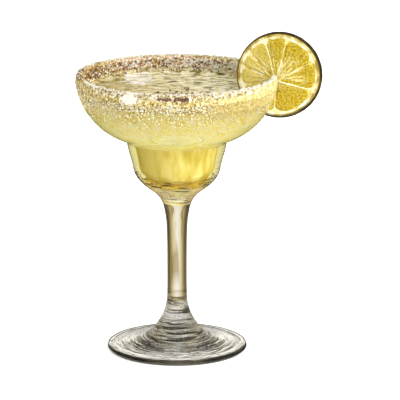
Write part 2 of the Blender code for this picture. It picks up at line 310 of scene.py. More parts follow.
def blown_glass(name, bend, depth_tone, density, coated=False, ridges=None, painted_ring_tones=None,
                dark_from=None, cords_from=None):
    """Machine-blown soda glass, fire-polished: clear, hard gloss, with faint waves from the mould.

    ridges is where the glass gathers in uneven rings: their lowest and highest z, 1 or -1 for a shape that
    widens upwards or downwards there, how many wander round it per metre, and how much is left below the
    lowest z. The last two settings go with ridges. Beyond the radius dark_from the glass's colour is painted
    dark, as painted shade for glass seen edge on, and above the height cords_from it has the faint streaks
    that pulling leaves on a stem, painted as darker streaks in its colour."""
    material, add, shader = new_shading(name)
    place = add("TexCoord").outputs["Object"]
    # The waves are about 12 mm long and only just bend what shows behind
    waves = add("TexNoise", Vector=place, Scale=80.0, Detail=1.0)
    bump = add("Bump", Height=waves, Strength=0.05, Distance=0.3 * MM)
    clear = tone("#fefefc")
    if ridges:
        low, high, lean, wander, rest = ridges
        split = add("SeparateXYZ", Vector=place)
        level, radius = from_axis(add, place)
        along = add("Math", "MULTIPLY_ADD", n0=radius, n1=lean, n2=split.outputs["Z"])
        # Rings about 2 mm apart that wander over 10 to 20 mm
        lift = add("Math", "MULTIPLY", n0=along, n1=430.0)
        around = add("VectorMath", "SCALE", n0=level, Scale=wander)
        lift = add("CombineXYZ", Z=lift)
        spot = add("VectorMath", "ADD", n0=around, n1=lift)
        rings = add("TexNoise", Vector=spot, Scale=1.0, Detail=2.0, Roughness=0.5)
        over = add("MapRange", SMOOTH, Value=split.outputs["Z"], n1=high - 8 * MM, n2=high, n3=1.0, n4=0.0)
        under = add("MapRange", SMOOTH, Value=split.outputs["Z"], n1=low, n2=low + 3 * MM, n3=rest, n4=1.0)
        share = add("Math", "MULTIPLY", n0=over, n1=under)
        height = add("Math", "MULTIPLY", n0=share, n1=rings)
        bump = add("Bump", Height=height, Strength=1.0, Distance=1.6 * MM, Normal=bump)
        # The rings are painted as dark and white strokes in the glass's colour: painted shade where they
        # send light away, and painted light where they let it through
        painted_rings = add("ValToRGB", Fac=rings, stops=painted_ring_tones)
        shown = add("Math", "POWER", n0=share, n1=1.7)
        clear = add("Mix", COLOURS, Factor=shown, n6=clear, n7=painted_rings)
    if dark_from:
        # Painted shade: the glass's colour turns dark towards its outer edge, where it is seen edge on
        edge = add("MapRange", Value=radius, n1=dark_from, n2=dark_from + 2.2 * MM)
        clear = add("Mix", COLOURS, Factor=edge, n6=clear, n7=tone("#4c4637"))
    if cords_from:
        # They are about 2 mm apart and several centimetres long. They are painted as darker streaks in the
        # glass's colour: painted shade for the light that real cords bend away
        pulled = add("VectorMath", "MULTIPLY", n0=place, n1=(480.0, 480.0, 14.0))
        streaks = add("TexNoise", Vector=pulled, Scale=1.0, Detail=2.0)
        streaks = add("ValToRGB", Fac=streaks,
                      stops=[(0.38, "#988963"), (0.43, "#efe6c8"), (0.46, "#ffffff")])
        start = add("MapRange", Value=split.outputs["Z"], n1=cords_from, n2=cords_from + 10 * MM)
        clear = add("Mix", TINT, Factor=start, n6=clear, n7=streaks)
    # Handling leaves a slight film, so the gloss isn't the same all over
    film = add("TexNoise", Vector=place, Scale=45.0, Detail=3.0)
    rough = add("MapRange", Value=film, n1=0.4, n2=0.7, n3=0.005, n4=0.03)
    plug(shader, Base_Color=clear, Roughness=rough, IOR=bend, Transmission_Weight=1.0, Normal=bump)
    if coated:
        plug(shader, Coat_Weight=1.0, Coat_Roughness=0.02, Coat_IOR=1.5)
    absorb = add("VolumeAbsorption", Color=tone(depth_tone), Density=density)
    plug(material.node_tree.nodes["Material Output"], Volume=absorb)
    return material


def lime_drink():
    """Tequila, orange liqueur and lime juice, shaken: cloudy with pulp, paler where ice froth floats."""
    material, add, shader = new_shading("cloudy_margarita")
    place = add("TexCoord").outputs["Object"]
    split = add("SeparateXYZ", Vector=place)
    height = split.outputs["Z"]
    # Froth ends in a fairly level line where the bulb begins
    drift = add("TexNoise", Vector=place, Scale=90.0, Detail=2.0)
    wander = add("Math", "MULTIPLY_ADD", n0=drift, n1=1.2 * MM, n2=height)
    froth = add("MapRange", SMOOTH, Value=wander, n1=FROTH_BOTTOM, n2=FROTH_BOTTOM + 1.5 * MM)
    rise = add("MapRange", Value=height, n1=128 * MM, n2=152 * MM)
    # Crushed ice and bubbles of about 1 mm, in clots of 4 to 5 mm
    grains = add("TexNoise", Vector=place, Scale=900.0, Detail=4.0, Roughness=0.7)
    clots = add("TexNoise", Vector=place, Scale=220.0, Detail=3.0, Roughness=0.6)
    speck = add("Math", "MULTIPLY_ADD", n0=clots, n1=0.5, n2=grains)
    froth_low = add("ValToRGB", Fac=speck, stops=[(0.5, "#fde266"), (0.7, "#fff286"), (0.88, "#fffac2")])
    froth_high = add("ValToRGB", Fac=speck, stops=[(0.5, "#dcc05c"), (0.7, "#ffec90"), (0.88, "#fffadc")])
    froth_tone = add("Mix", COLOURS, Factor=rise, n6=froth_low, n7=froth_high)
    # Pulp hangs in soft upright streaks, about 6 mm apart
    hung = add("VectorMath", "MULTIPLY", n0=place, n1=(170.0, 170.0, 45.0))
    hung = add("TexNoise", Vector=hung, Scale=1.0, Detail=3.0)
    juice_tone = add("ValToRGB", Fac=hung, stops=[(0.4, "#dac866"), (0.5, "#ebdd86"), (0.6, "#f9eeaa")])
    # Painted shade: the juice in the bulb is darker and duller towards the left, the side away from the
    # light
    painted_shade_left = add("MapRange", Value=split.outputs["X"], n1=-22 * MM, n2=2 * MM, n3=1.0, n4=0.0)
    juice_tone = add("Mix", COLOURS, Factor=painted_shade_left, n6=juice_tone, n7=tone("#cabb6e"))
    colour = add("Mix", COLOURS, Factor=froth, n6=juice_tone, n7=froth_tone)
    # On top, clearer olive liquid shows between rafts of froth drawn out by the last stir; its darkest
    # patches are painted shade
    drawn = add("VectorMath", "MULTIPLY", n0=place, n1=(130.0, 300.0, 0.0))
    rafts = add("TexNoise", Vector=drawn, Scale=1.0, Detail=6.0, Roughness=0.75)
    top_tone = add("ValToRGB", Fac=rafts,
                   stops=[(0.39, "#3a3010"), (0.44, "#8c7e3e"), (0.5, "#efe5ae"), (0.56, "#fffdee")])
    # Painted shade: the surface's colour is darkened towards the front left
    frontward = add("VectorMath", "DOT_PRODUCT", n0=place, n1=(-0.8, -0.6, 0.0))
    thin = add("MapRange", Value=frontward, n1=-30 * MM, n2=20 * MM)
    top_tone = add("Mix", TINT, Factor=thin, n6=top_tone, n7=tone("#d4ccac"))
    # Painted highlight: a white patch at the back left, where the light is reflected, shaped as a raft of
    # foam with its edge pulled out along the same stir
    highlight_offset = add("VectorMath", "SUBTRACT", n0=place, n1=BACK_HIGHLIGHT_CENTRE)
    highlight_stretch = add("VectorMath", "MULTIPLY", n0=highlight_offset, n1=(1.0, 0.5, 0.0))
    highlight_distance = add("VectorMath", "LENGTH", n0=highlight_stretch)
    highlight_edge = add("Math", "MULTIPLY_ADD", n0=rafts, n1=-18 * MM, n2=highlight_distance)
    highlight_share = add("MapRange", Value=highlight_edge, n1=-1.5 * MM, n2=0.5 * MM, n3=1.0, n4=0.0)
    highlight_tone = add("ValToRGB", Fac=rafts, stops=[(0.4, "#a3966a"), (0.46, "#e6dec8"), (0.53, "#fffefa")])
    top_tone = add("Mix", COLOURS, Factor=highlight_share, n6=top_tone, n7=highlight_tone)
    top = add("MapRange", Value=height, n1=DRINK_LEVEL - 0.5 * MM, n2=DRINK_LEVEL - 0.2 * MM)
    colour = add("Mix", COLOURS, Factor=top, n6=colour, n7=top_tone)
    bump = add("Bump", Height=speck, Strength=0.25, Distance=0.3 * MM)
    see_through = add("MapRange", Value=froth, n3=0.15, n4=0.0)
    plug(shader, Base_Color=colour, Roughness=0.12, IOR=1.34, Subsurface_Weight=0.4,
         Subsurface_Radius=(1.0, 0.85, 0.35), Subsurface_Scale=2.5 * MM, Transmission_Weight=see_through,
         Normal=bump)
    return material


def salt(name, stops, clear, size=700.0):
    """Coarse evaporated salt: hard little cubes, white where they scatter light, and partly clear."""
    material, add, shader = new_shading(name)
    place = add("TexCoord").outputs["Object"]
    shade = add("TexNoise", Vector=place, Scale=size, Detail=3.0, Roughness=0.7)
    colour = add("ValToRGB", Fac=shade, stops=stops)
    plug(shader, Base_Color=colour, Roughness=0.28, IOR=1.54, Transmission_Weight=clear,
         Subsurface_Weight=0.15, Subsurface_Radius=(1.0, 0.95, 0.85), Subsurface_Scale=0.6 * MM)
    return material


def facing(add, level, degrees, start, end):
    """How far a place lies towards a compass direction, from 0 at start to 1 at end, in mm from the axis."""
    towards = (math.cos(math.radians(degrees)), math.sin(math.radians(degrees)), 0.0)
    along = add("VectorMath", "DOT_PRODUCT", n0=level, n1=towards)
    return add("MapRange", Value=along, n1=start * MM, n2=end * MM)


def caked_salt():
    """Salt gone hard in lime juice: white on the lip, stained at the back, and yellow outside, painted light
    from the drink behind.
    """
    material, add, shader = new_shading("caked_salt")
    place = add("TexCoord").outputs["Object"]
    height = add("SeparateXYZ", Vector=place).outputs["Z"]
    level, radius = from_axis(add, place)
    # Lumps of about 1 to 2 mm
    lumps = add("TexNoise", Vector=place, Scale=600.0, Detail=3.0, Roughness=0.7)
    # The yellow outside is painted light: the drink's colour that would shine through the salt, most of all
    # at its thin lower edge
    outside = add("ValToRGB", Fac=lumps,
                  stops=[(0.38, "#7c5e18"), (0.47, "#bfa752"), (0.57, "#ebdb94"), (0.68, "#fffef0")])
    thin = add("ValToRGB", Fac=lumps,
               stops=[(0.38, "#745716"), (0.48, "#b39a4c"), (0.58, "#e6d78e"), (0.68, "#fffef0")])
    lower = add("MapRange", Value=height, n1=162.6 * MM, n2=161 * MM)
    outside = add("Mix", COLOURS, Factor=lower, n6=outside, n7=thin)
    # Towards the lime it is smooth and pale
    smooth = add("ValToRGB", Fac=lumps,
                 stops=[(0.38, "#b3a04c"), (0.47, "#d6c780"), (0.56, "#ebdfa6"), (0.64, "#fffdf0")])
    smooth_edge = add("ValToRGB", Fac=lumps, stops=[(0.38, "#b8a450"), (0.49, "#d8c676"), (0.64, "#f6edba")])
    smooth = add("Mix", COLOURS, Factor=lower, n6=smooth, n7=smooth_edge)
    near_lime = facing(add, level, -30, 40, 54)
    outside = add("Mix", COLOURS, Factor=near_lime, n6=outside, n7=smooth)
    # Inside at the back it is stained, and on the left the stain is golden
    golden = add("ValToRGB", Fac=lumps, stops=[(0.38, "#55350e"), (0.48, "#946c2e"), (0.6, "#dcc070")])
    stained = add("ValToRGB", Fac=lumps, stops=[(0.38, "#8c6650"), (0.48, "#d2ae94"), (0.6, "#fff2e2")])
    left = facing(add, level, 170, 38, 50)
    stained = add("Mix", COLOURS, Factor=left, n6=stained, n7=golden)
    share = facing(add, level, math.degrees(STAIN_FROM), 6, 28)
    inner = add("MapRange", Value=radius, n1=57.4 * MM, n2=56.6 * MM)
    stain = add("Math", "MULTIPLY", n0=share, n1=inner)
    colour = add("Mix", COLOURS, Factor=stain, n6=outside, n7=stained)
    # The lip is white, and the white comes further down the outside in front
    crown = add("ValToRGB", Fac=lumps, stops=[(0.4, "#745f2a"), (0.5, "#bfae72"), (0.64, "#fffcf0")])
    far_left = facing(add, level, 172, 50, 56)
    crown = add("Mix", COLOURS, Factor=far_left, n6=crown, n7=golden)
    front = facing(add, level, -95, 30, 48)
    lifted = add("Math", "MULTIPLY_ADD", n0=front, n1=2.6 * MM, n2=height)
    top = add("MapRange", Value=lifted, n1=164.8 * MM, n2=165.8 * MM)
    colour = add("Mix", COLOURS, Factor=top, n6=colour, n7=crown)
    # Painted highlight: a patch of white salt at the front left, where the light is reflected
    away = add("VectorMath", "DISTANCE", n0=place, n1=FRONT_HIGHLIGHT_CENTRE)
    away = add("Math", "MULTIPLY_ADD", n0=lumps, n1=-14 * MM, n2=away)
    front_highlight = add("MapRange", Value=away, n1=-3.5 * MM, n2=0.0, n3=0.85, n4=0.0)
    colour = add("Mix", COLOURS, Factor=front_highlight, n6=colour, n7=tone("#fffcf0"))
    bump = add("Bump", Height=lumps, Strength=0.6, Distance=0.4 * MM)
    plug(shader, Base_Color=colour, Roughness=0.45, IOR=1.54, Normal=bump)
    return material


def wheel_rays(add, place, along, across):
    """Coordinates stretched along the lines from the wheel's core, for cells and fibres that point at it.

    Returns them with the distance from the core."""
    level = from_axis(add, place)[0]
    from_core = add("VectorMath", "SUBTRACT", n0=level, n1=LIME_CORE)
    reach = add("VectorMath", "LENGTH", n0=from_core)
    outward = add("VectorMath", "NORMALIZE", n0=from_core)
    spread = add("VectorMath", "SCALE", n0=outward, Scale=across)
    depth = add("Math", "MULTIPLY", n0=reach, n1=along)
    lift = add("CombineXYZ", Z=depth)
    return add("VectorMath", "ADD", n0=spread, n1=lift), reach


def lime_flesh():
    """Cut juice cells: wet, see-through a few millimetres deep, with pale skins that gather at the core."""
    material, add, shader = new_shading("lime_flesh")
    place = add("TexCoord").outputs["Object"]
    split = add("SeparateXYZ", Vector=place)
    rays, reach = wheel_rays(add, place, 260.0, 7.5)
    cells = add("TexVoronoi", {"feature": "DISTANCE_TO_EDGE"}, Vector=rays, Scale=1.6)
    skins = add("MapRange", Value=cells, n1=0.0, n2=0.09, n3=1.0, n4=0.0)
    mottle = add("TexNoise", Vector=place, Scale=900.0, Detail=3.0, Roughness=0.65)
    body = add("ValToRGB", Fac=mottle, stops=[(0.32, "#7d6400"), (0.48, "#b09408"), (0.64, "#dcc42a")])
    # The flesh is paler on the side towards the drink
    flesh_towards_drink = add("MapRange", Value=split.outputs["X"], n1=-4 * MM, n2=-15 * MM, n4=0.5)
    body = add("Mix", COLOURS, Factor=flesh_towards_drink, n6=body, n7=tone("#f6e688"))
    # Skins run outwards from the core and are lost in the juice about two thirds of the way. Their pale
    # colour is their own, and showing it mostly in the upper half of the wheel is painted highlight
    fine = wheel_rays(add, place, 90.0, 11.0)[0]
    streaks = add("TexNoise", Vector=fine, Scale=1.3, Detail=3.0, Roughness=0.6)
    bright = add("MapRange", Value=streaks, n1=0.5, n2=0.57)
    fade = add("MapRange", Value=reach, n1=9 * MM, n2=20 * MM, n3=1.0, n4=0.0)
    upper = add("MapRange", Value=split.outputs["Y"], n1=-9 * MM, n2=-3 * MM, n3=0.1)
    gathered = add("Math", "MULTIPLY", n0=bright, n1=fade)
    gathered = add("Math", "MULTIPLY", n0=gathered, n1=upper)
    pale = add("Math", "MULTIPLY", n0=skins, n1=0.22)
    most = add("Math", "MAXIMUM", n0=pale, n1=gathered)
    colour = add("Mix", COLOURS, Factor=most, n6=body, n7=tone("#f9efae"))
    bump = add("Bump", {"invert": True}, Height=skins, Strength=0.5, Distance=0.3 * MM)
    plug(shader, Base_Color=colour, Roughness=0.25, IOR=1.37, Specular_IOR_Level=0.25,
         Subsurface_Weight=0.25, Subsurface_Radius=(1.0, 0.8, 0.2), Subsurface_Scale=1.5 * MM, Normal=bump)
    return material


def lime_pith():
    """Pith and membranes: dry fibre, white in patches, with golden zest outside it."""
    material, add, shader = new_shading("lime_pith")
    place = add("TexCoord").outputs["Object"]
    radius = from_axis(add, place)[1]
    rays = wheel_rays(add, place, 500.0, 14.0)[0]
    fibres = add("TexNoise", Vector=rays, Scale=3.0, Detail=3.0)
    patches = add("TexNoise", Vector=place, Scale=190.0, Detail=2.0)
    both = add("Math", "MULTIPLY_ADD", n0=fibres, n1=0.4, n2=patches)
    outward = add("MapRange", Value=radius, n1=21.7 * MM, n2=22.1 * MM)
    last = add("MapRange", Value=radius, n1=22.5 * MM, n2=23.0 * MM)
    inner = add("ValToRGB", Fac=both, stops=[(0.57, "#bc9f30"), (0.68, "#e2cf6a"), (0.78, "#fdf8d6")])
    line = add("ValToRGB", Fac=both, stops=[(0.54, "#bca544"), (0.66, "#ece1a8"), (0.78, "#fdfae6")])
    zest = add("ValToRGB", Fac=both, stops=[(0.55, "#937b2a"), (0.7, "#c4ae5a"), (0.85, "#f0e5aa")])
    colour = add("Mix", COLOURS, Factor=outward, n6=inner, n7=line)
    colour = add("Mix", COLOURS, Factor=last, n6=colour, n7=zest)
    # Painted shade: towards the bottom the zest is darkened to the skin's dark olive
    below = add("SeparateXYZ", Vector=place).outputs["Y"]
    below = add("MapRange", Value=below, n1=-9 * MM, n2=-18 * MM)
    rim = add("MapRange", Value=radius, n1=22.6 * MM, n2=23.8 * MM, n4=0.85)
    skin = add("Math", "MULTIPLY", n0=below, n1=rim)
    colour = add("Mix", COLOURS, Factor=skin, n6=colour, n7=tone("#3a3410"))
    bump = add("Bump", Height=fibres, Strength=0.4, Distance=0.2 * MM)
    plug(shader, Base_Color=colour, Roughness=0.55, Subsurface_Weight=0.1,
         Subsurface_Radius=(1.0, 0.9, 0.5), Subsurface_Scale=1.0 * MM, Normal=bump)
    return material


def lime_rind():
    """Lime skin: dark olive and nearly matt, dimpled by oil glands about 1 mm apart.

    The knife leaves a thin olive edge where the skin meets either cut face, fading towards the bottom as
    painted shade."""
    material, add, shader = new_shading("lime_rind")
    place = add("TexCoord").outputs["Object"]
    split = add("SeparateXYZ", Vector=place)
    depth = add("Math", "ABSOLUTE", n0=split.outputs["Z"])
    edge = add("MapRange", Value=depth, n1=1.9 * MM, n2=2.7 * MM)
    glands = add("TexVoronoi", Vector=place, Scale=900.0)
    patches = add("TexNoise", Vector=place, Scale=120.0, Detail=3.0)
    colour = add("ValToRGB", Fac=patches, stops=[(0.35, "#1a180c"), (0.55, "#32290e"), (0.72, "#5c4d18")])
    # The skin is yellower on the side towards the drink
    towards_drink = add("MapRange", Value=split.outputs["X"], n1=-10 * MM, n2=-20 * MM, n4=0.8)
    colour = add("Mix", COLOURS, Factor=towards_drink, n6=colour, n7=tone("#8f7224"))
    # Painted shade: the cut edge fades out towards the bottom
    above = add("MapRange", Value=split.outputs["Y"], n1=-16 * MM, n2=-8 * MM, n3=0.1)
    edge = add("Math", "MULTIPLY", n0=edge, n1=above)
    colour = add("Mix", COLOURS, Factor=edge, n6=colour, n7=tone("#7d6c22"))
    bump = add("Bump", Height=glands, Strength=0.5, Distance=0.25 * MM)
    plug(shader, Base_Color=colour, Roughness=0.6, Specular_IOR_Level=0.06, Normal=bump)
    return material


# Pieces

def make_glass():
    profile = inner_face()[::-1] + lip_arc()[::-1] + outer_face() + foot_face()
    mesh = turned_mesh("clear_glass", profile)
    # Rings gather in the joint under the drink, and on the flare where the stem meets the foot
    knuckle = (88 * MM, 113 * MM, 1, 90.0, 0.0)
    flare = (5 * MM, 38 * MM, -1, 48.0, 0.35)
    # The ring strokes' tones below are painted shade at their dark end and painted light at their white end
    golden = [(0.38, "#2c2416"), (0.42, "#d8cc98"), (0.44, "#ffffff")]
    grey = [(0.41, "#14110b"), (0.46, "#8e8a7e"), (0.49, "#ffffff")]
    # The yellow in the joint and bulb glass and the beige in the stem glass are painted light: the drink's
    # colour carried through the glass. The grey of the foot glass is painted shade
    bowl = blown_glass("bowl_glass", 1.5, "#f2ecc8", 4.0)
    joint = blown_glass("joint_glass", 1.2, "#fcf580", 30.0, True, knuckle, golden)
    bulb = blown_glass("bulb_glass", 1.06, "#fbf266", 38.0, True, knuckle, golden)
    stem = blown_glass("stem_glass", 1.5, "#e2d8b6", 34.0, False, flare, grey, cords_from=CORDS_FROM)
    foot = blown_glass("foot_glass", 1.5, "#c8c7c0", 20.0, False, flare, grey, dark_from=DARK_EDGE_FROM)
    glass = new_piece("clear_glass", mesh, bowl, bulb, joint, stem, foot)
    for face in mesh.polygons:
        height = face.center.z
        face.material_index = sum(height < end for end in GLASS_PART_ENDS)
    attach(glass, "root")
    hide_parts("margarita_glass")


def make_drink():
    """The drink: slow ripples on top, a raised edge at the wall and a hair of overlap with the glass."""
    inside = [p for p in inner_face(INTO_WALL) if p[1] < DRINK_LEVEL - 0.2 * MM]
    edge = bowl_arc(RIM_WALL - INTO_WALL, DRINK_LEVEL + MENISCUS, DRINK_LEVEL, 3)
    reach = edge[0][0]
    surface = [(0, DRINK_LEVEL)]
    # The rings lie closer together towards the wall, and the last stops just short of it
    for ring in range(1, SURFACE_RINGS + 1):
        radius = reach * math.sin(ring / SURFACE_RINGS * math.pi / 2 * 0.985)
        climb = MENISCUS * math.exp(-(reach - radius) / (1.1 * MM))
        surface.append((radius, DRINK_LEVEL + climb))
    mesh = turned_mesh("lime_drink", surface + edge + inside)
    for vertex in mesh.vertices:
        radius = math.hypot(vertex.co.x, vertex.co.y)
        if vertex.co.z > DRINK_LEVEL - 0.01 * MM and radius < reach - 1.5 * MM:
            spot = Vector((vertex.co.x * 0.6, vertex.co.y * 1.6, 0)) / (9 * MM)
            vertex.co.z += 0.22 * MM * noise.noise(spot) + 0.1 * MM * noise.noise(spot * 3)
    drink = new_piece("lime_drink", mesh, lime_drink())
    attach(drink, "root")
    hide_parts("margarita_drink")


def lime_frame():
    facing = Euler((math.pi / 2 - LIME_LEAN, 0, LIME_TURN)).to_matrix().to_4x4()
    return Matrix.Translation(LIME_CENTRE) @ facing


def wheel_reach(radius, angle):
    """How far a circle round the wheel's centre is from the core in one direction."""
    towards = LIME_CORE.x * math.cos(angle) + LIME_CORE.y * math.sin(angle)
    return math.sqrt(radius**2 - LIME_CORE.length_squared + towards**2) - towards


def wheel_face(shape, side):
    """One cut face as rings of vertices from the centre out, with flesh, membranes and pith.

    Returns the outermost ring. side is 1 for the front and -1 for the back."""
    half = LIME_THICKNESS / 2
    following = MEMBRANE_ANGLES[1:] + [MEMBRANE_ANGLES[0] + 2 * math.pi]
    columns = []
    for start, end in zip(MEMBRANE_ANGLES, following):
        for step in range(FLESH_COLUMNS + 1):
            columns.append((start, end, step / FLESH_COLUMNS))
        columns.append((start, end, None))
    rows = []
    for row in range(FLESH_ROWS + PITH_ROWS + 1):
        ring = []
        for start, end, across in columns:
            half_angle = (end - start) / 2
            tip = FLESH_TIP / half_angle
            place = 1.0 if across is None else abs(2 * across - 1)
            middle = (start + end) / 2
            facing = end if across is None else middle + half_angle * (2 * across - 1)
            crown = wheel_reach(FLESH_RADIUS, facing) - FLESH_CORNER * place**5
            if row <= FLESH_ROWS:
                radius = HUB_RADIUS + (crown - HUB_RADIUS) * row / FLESH_ROWS
            else:
                rim = wheel_reach(LIME_FACE_RADIUS, facing)
                radius = crown + (rim - crown) * (row - FLESH_ROWS) / PITH_ROWS
            room = half_angle - min(0.8 * half_angle, MEMBRANE / 2 / radius)
            fleshy = across is not None and row <= FLESH_ROWS and radius > tip
            angle = end if across is None else middle + room * (2 * across - 1)
            height = half
            if fleshy:
                in_row = min(1.0, (radius - tip) / (1.6 * MM), (crown - radius) / (1.2 * MM))
                in_column = min(1.0, (1 - place) * room * radius / (1.0 * MM))
                dome = max(0.0, min(in_row, in_column))
                spot = Vector((math.cos(angle) * 16, math.sin(angle) * 16, radius / (3.2 * MM)))
                height += dome * (FLESH_PROUD + 0.16 * MM * noise.noise(spot) - 0.05 * MM)
            else:
                spot = Vector((math.cos(angle), math.sin(angle), side)) * radius / (2 * MM)
                height += 0.05 * MM * noise.noise(spot)
            spot = LIME_CORE + radius * Vector((math.cos(angle), math.sin(angle), 0))
            if row == FLESH_ROWS + PITH_ROWS:
                spot *= LIME_FACE_RADIUS / spot.length
            ring.append(shape.verts.new((spot.x, spot.y, side * height)))
        rows.append(ring)
    hub = shape.verts.new((LIME_CORE.x, LIME_CORE.y, side * (half - 0.15 * MM)))
    count = len(columns)
    for step in range(count):
        after = (step + 1) % count
        shape.faces.new((hub, rows[0][step], rows[0][after])).material_index = 1
        for row, (near, far) in enumerate(zip(rows, rows[1:])):
            face = shape.faces.new((near[step], far[step], far[after], near[after]))
            start, end, across = columns[step]
            half_angle = (end - start) / 2
            tip = FLESH_TIP / half_angle
            radius = math.hypot(far[step].co.x - LIME_CORE.x, far[step].co.y - LIME_CORE.y)
            inner = across is not None and columns[after][2] is not None and columns[after][0] == start
            face.material_index = 0 if inner and row < FLESH_ROWS and radius > tip else 1
    return rows[-1]


def make_wheel():
    """The lime wheel as one closed mesh: two cut faces and the bulging rind between them."""
    shape = bmesh.new()
    front = wheel_face(shape, 1)
    back = wheel_face(shape, -1)
    rings = [front]
    for step in range(1, RIND_ROWS):
        along = step / RIND_ROWS
        ring = []
        for vertex in front:
            angle = math.atan2(vertex.co.y, vertex.co.x)
            bulge = (LIME_RADIUS - LIME_FACE_RADIUS) * math.sin(min(1, along * 1.25) * math.pi / 2)
            radius = LIME_FACE_RADIUS + bulge
            radius += 0.12 * MM * noise.noise(Vector((math.cos(angle), math.sin(angle), along)) * 9)
            height = LIME_THICKNESS / 2 - LIME_THICKNESS * along
            ring.append(shape.verts.new((radius * math.cos(angle), radius * math.sin(angle), height)))
        rings.append(ring)
    rings.append(back)
    count = len(front)
    for near, far in zip(rings, rings[1:]):
        for step in range(count):
            after = (step + 1) % count
            shape.faces.new((near[step], far[step], far[after], near[after])).material_index = 2
    mesh = smooth_mesh("lime_slice", shape)
    wheel = new_piece("lime_slice", mesh, lime_flesh(), lime_pith(), lime_rind())
    wheel.matrix_world = lime_frame()
    slit_wheel(wheel)
    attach(wheel, "root")
    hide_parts("lime_wheel")


def slit_wheel(wheel):
    """Cuts the slit that the glass wall stands in."""
    top_z = GLASS_HEIGHT - LIP_RADIUS
    outside = bowl_arc(-SLIT_GAP, top_z, SLIT_BOTTOM_Z, 24)
    inside = bowl_arc(RIM_WALL + SLIT_GAP, top_z, SLIT_BOTTOM_Z, 24)
    over = [(outside[0][0], GLASS_HEIGHT + SLIT_GAP), (inside[0][0], GLASS_HEIGHT + SLIT_GAP)]
    ring = outside + inside[::-1] + over[::-1]
    cutter = new_piece("wall_cutter", turned_mesh("wall_cutter", ring + ring[:1]))
    shape = bmesh.new()
    shape.from_mesh(cutter.data)
    bmesh.ops.remove_doubles(shape, verts=shape.verts, dist=1e-6)
    bmesh.ops.recalc_face_normals(shape, faces=shape.faces)
    shape.to_mesh(cutter.data)
    shape.free()
    cut = wheel.modifiers.new("Slit", "BOOLEAN")
    cut.operation = "DIFFERENCE"
    cut.solver = "EXACT"
    cut.object = cutter
    bpy.context.view_layer.update()
    made = bpy.data.meshes.new_from_object(wheel.evaluated_get(bpy.context.evaluated_depsgraph_get()))
    wheel.modifiers.remove(cut)
    wheel.data = made
    bpy.data.objects.remove(cutter, do_unlink=True)


CUBE = np.array([(x, y, z) for x in (-0.5, 0.5) for y in (-0.5, 0.5) for z in (-0.5, 0.5)])
CUBE_FACES = np.array([(0, 1, 3, 2), (4, 6, 7, 5), (0, 4, 5, 1), (2, 3, 7, 6), (0, 2, 6, 4), (1, 5, 7, 3)])


def crystals(name, places, sizes, draw, material):
    """One mesh of many salt crystals: worn cubes with unequal sides, each turned its own way."""
    count = len(places)
    axes = draw.normal(size=(count, 4))
    axes /= np.linalg.norm(axes, axis=1, keepdims=True)
    w, x, y, z = axes.T
    turn = np.stack([
        np.stack([1 - 2 * (y * y + z * z), 2 * (x * y - z * w), 2 * (x * z + y * w)], -1),
        np.stack([2 * (x * y + z * w), 1 - 2 * (x * x + z * z), 2 * (y * z - x * w)], -1),
        np.stack([2 * (x * z - y * w), 2 * (y * z + x * w), 1 - 2 * (x * x + y * y)], -1)], 1)
    stretch = sizes[:, None] * draw.uniform(0.6, 1.2, (count, 3))
    corners = CUBE[None] * stretch[:, None] * draw.uniform(0.8, 1.0, (count, 8, 1))
    corners = np.einsum("nij,nkj->nki", turn, corners) + places[:, None]
    faces = (CUBE_FACES[None] + 8 * np.arange(count)[:, None, None]).reshape(-1, 4)
    mesh = bpy.data.meshes.new(name)
    mesh.from_pydata(corners.reshape(-1, 3).tolist(), [], faces.tolist())
    grains = new_piece(name, mesh, material)
    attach(grains, "root")


def on_wall(outline, draw, count, reach, fade):
    """Places on a face of the bowl from the lip down to reach, thinning out with depth."""
    angles = draw.uniform(0, 2 * math.pi, count)
    depths = -fade * np.log(1 - draw.uniform(0, 1, count) * (1 - math.exp(-reach / fade)))
    heights = GLASS_HEIGHT - LIP_RADIUS - depths
    radii = np.array([radius_at(outline, h) for h in heights])
    return angles, radii, heights


def over_lip(draw, count):
    angles = draw.uniform(0, 2 * math.pi, count)
    radii = BOWL_RADIUS - LIP_RADIUS + draw.uniform(-1.3, 1.3, count) * LIP_RADIUS
    heights = np.full(count, GLASS_HEIGHT + SALT_GAP + SALT_CORE) + draw.uniform(-0.3, 0.25, count) * MM
    return angles, radii, heights


def clear_of_lime(angles):
    """Which places stay out of the slit and off the wheel."""
    off = np.abs((angles + math.pi) % (2 * math.pi) - math.pi)
    return off > LIME_GAP_ANGLE


def as_points(angles, radii, heights):
    return np.stack([radii * np.cos(angles), radii * np.sin(angles), heights], -1)


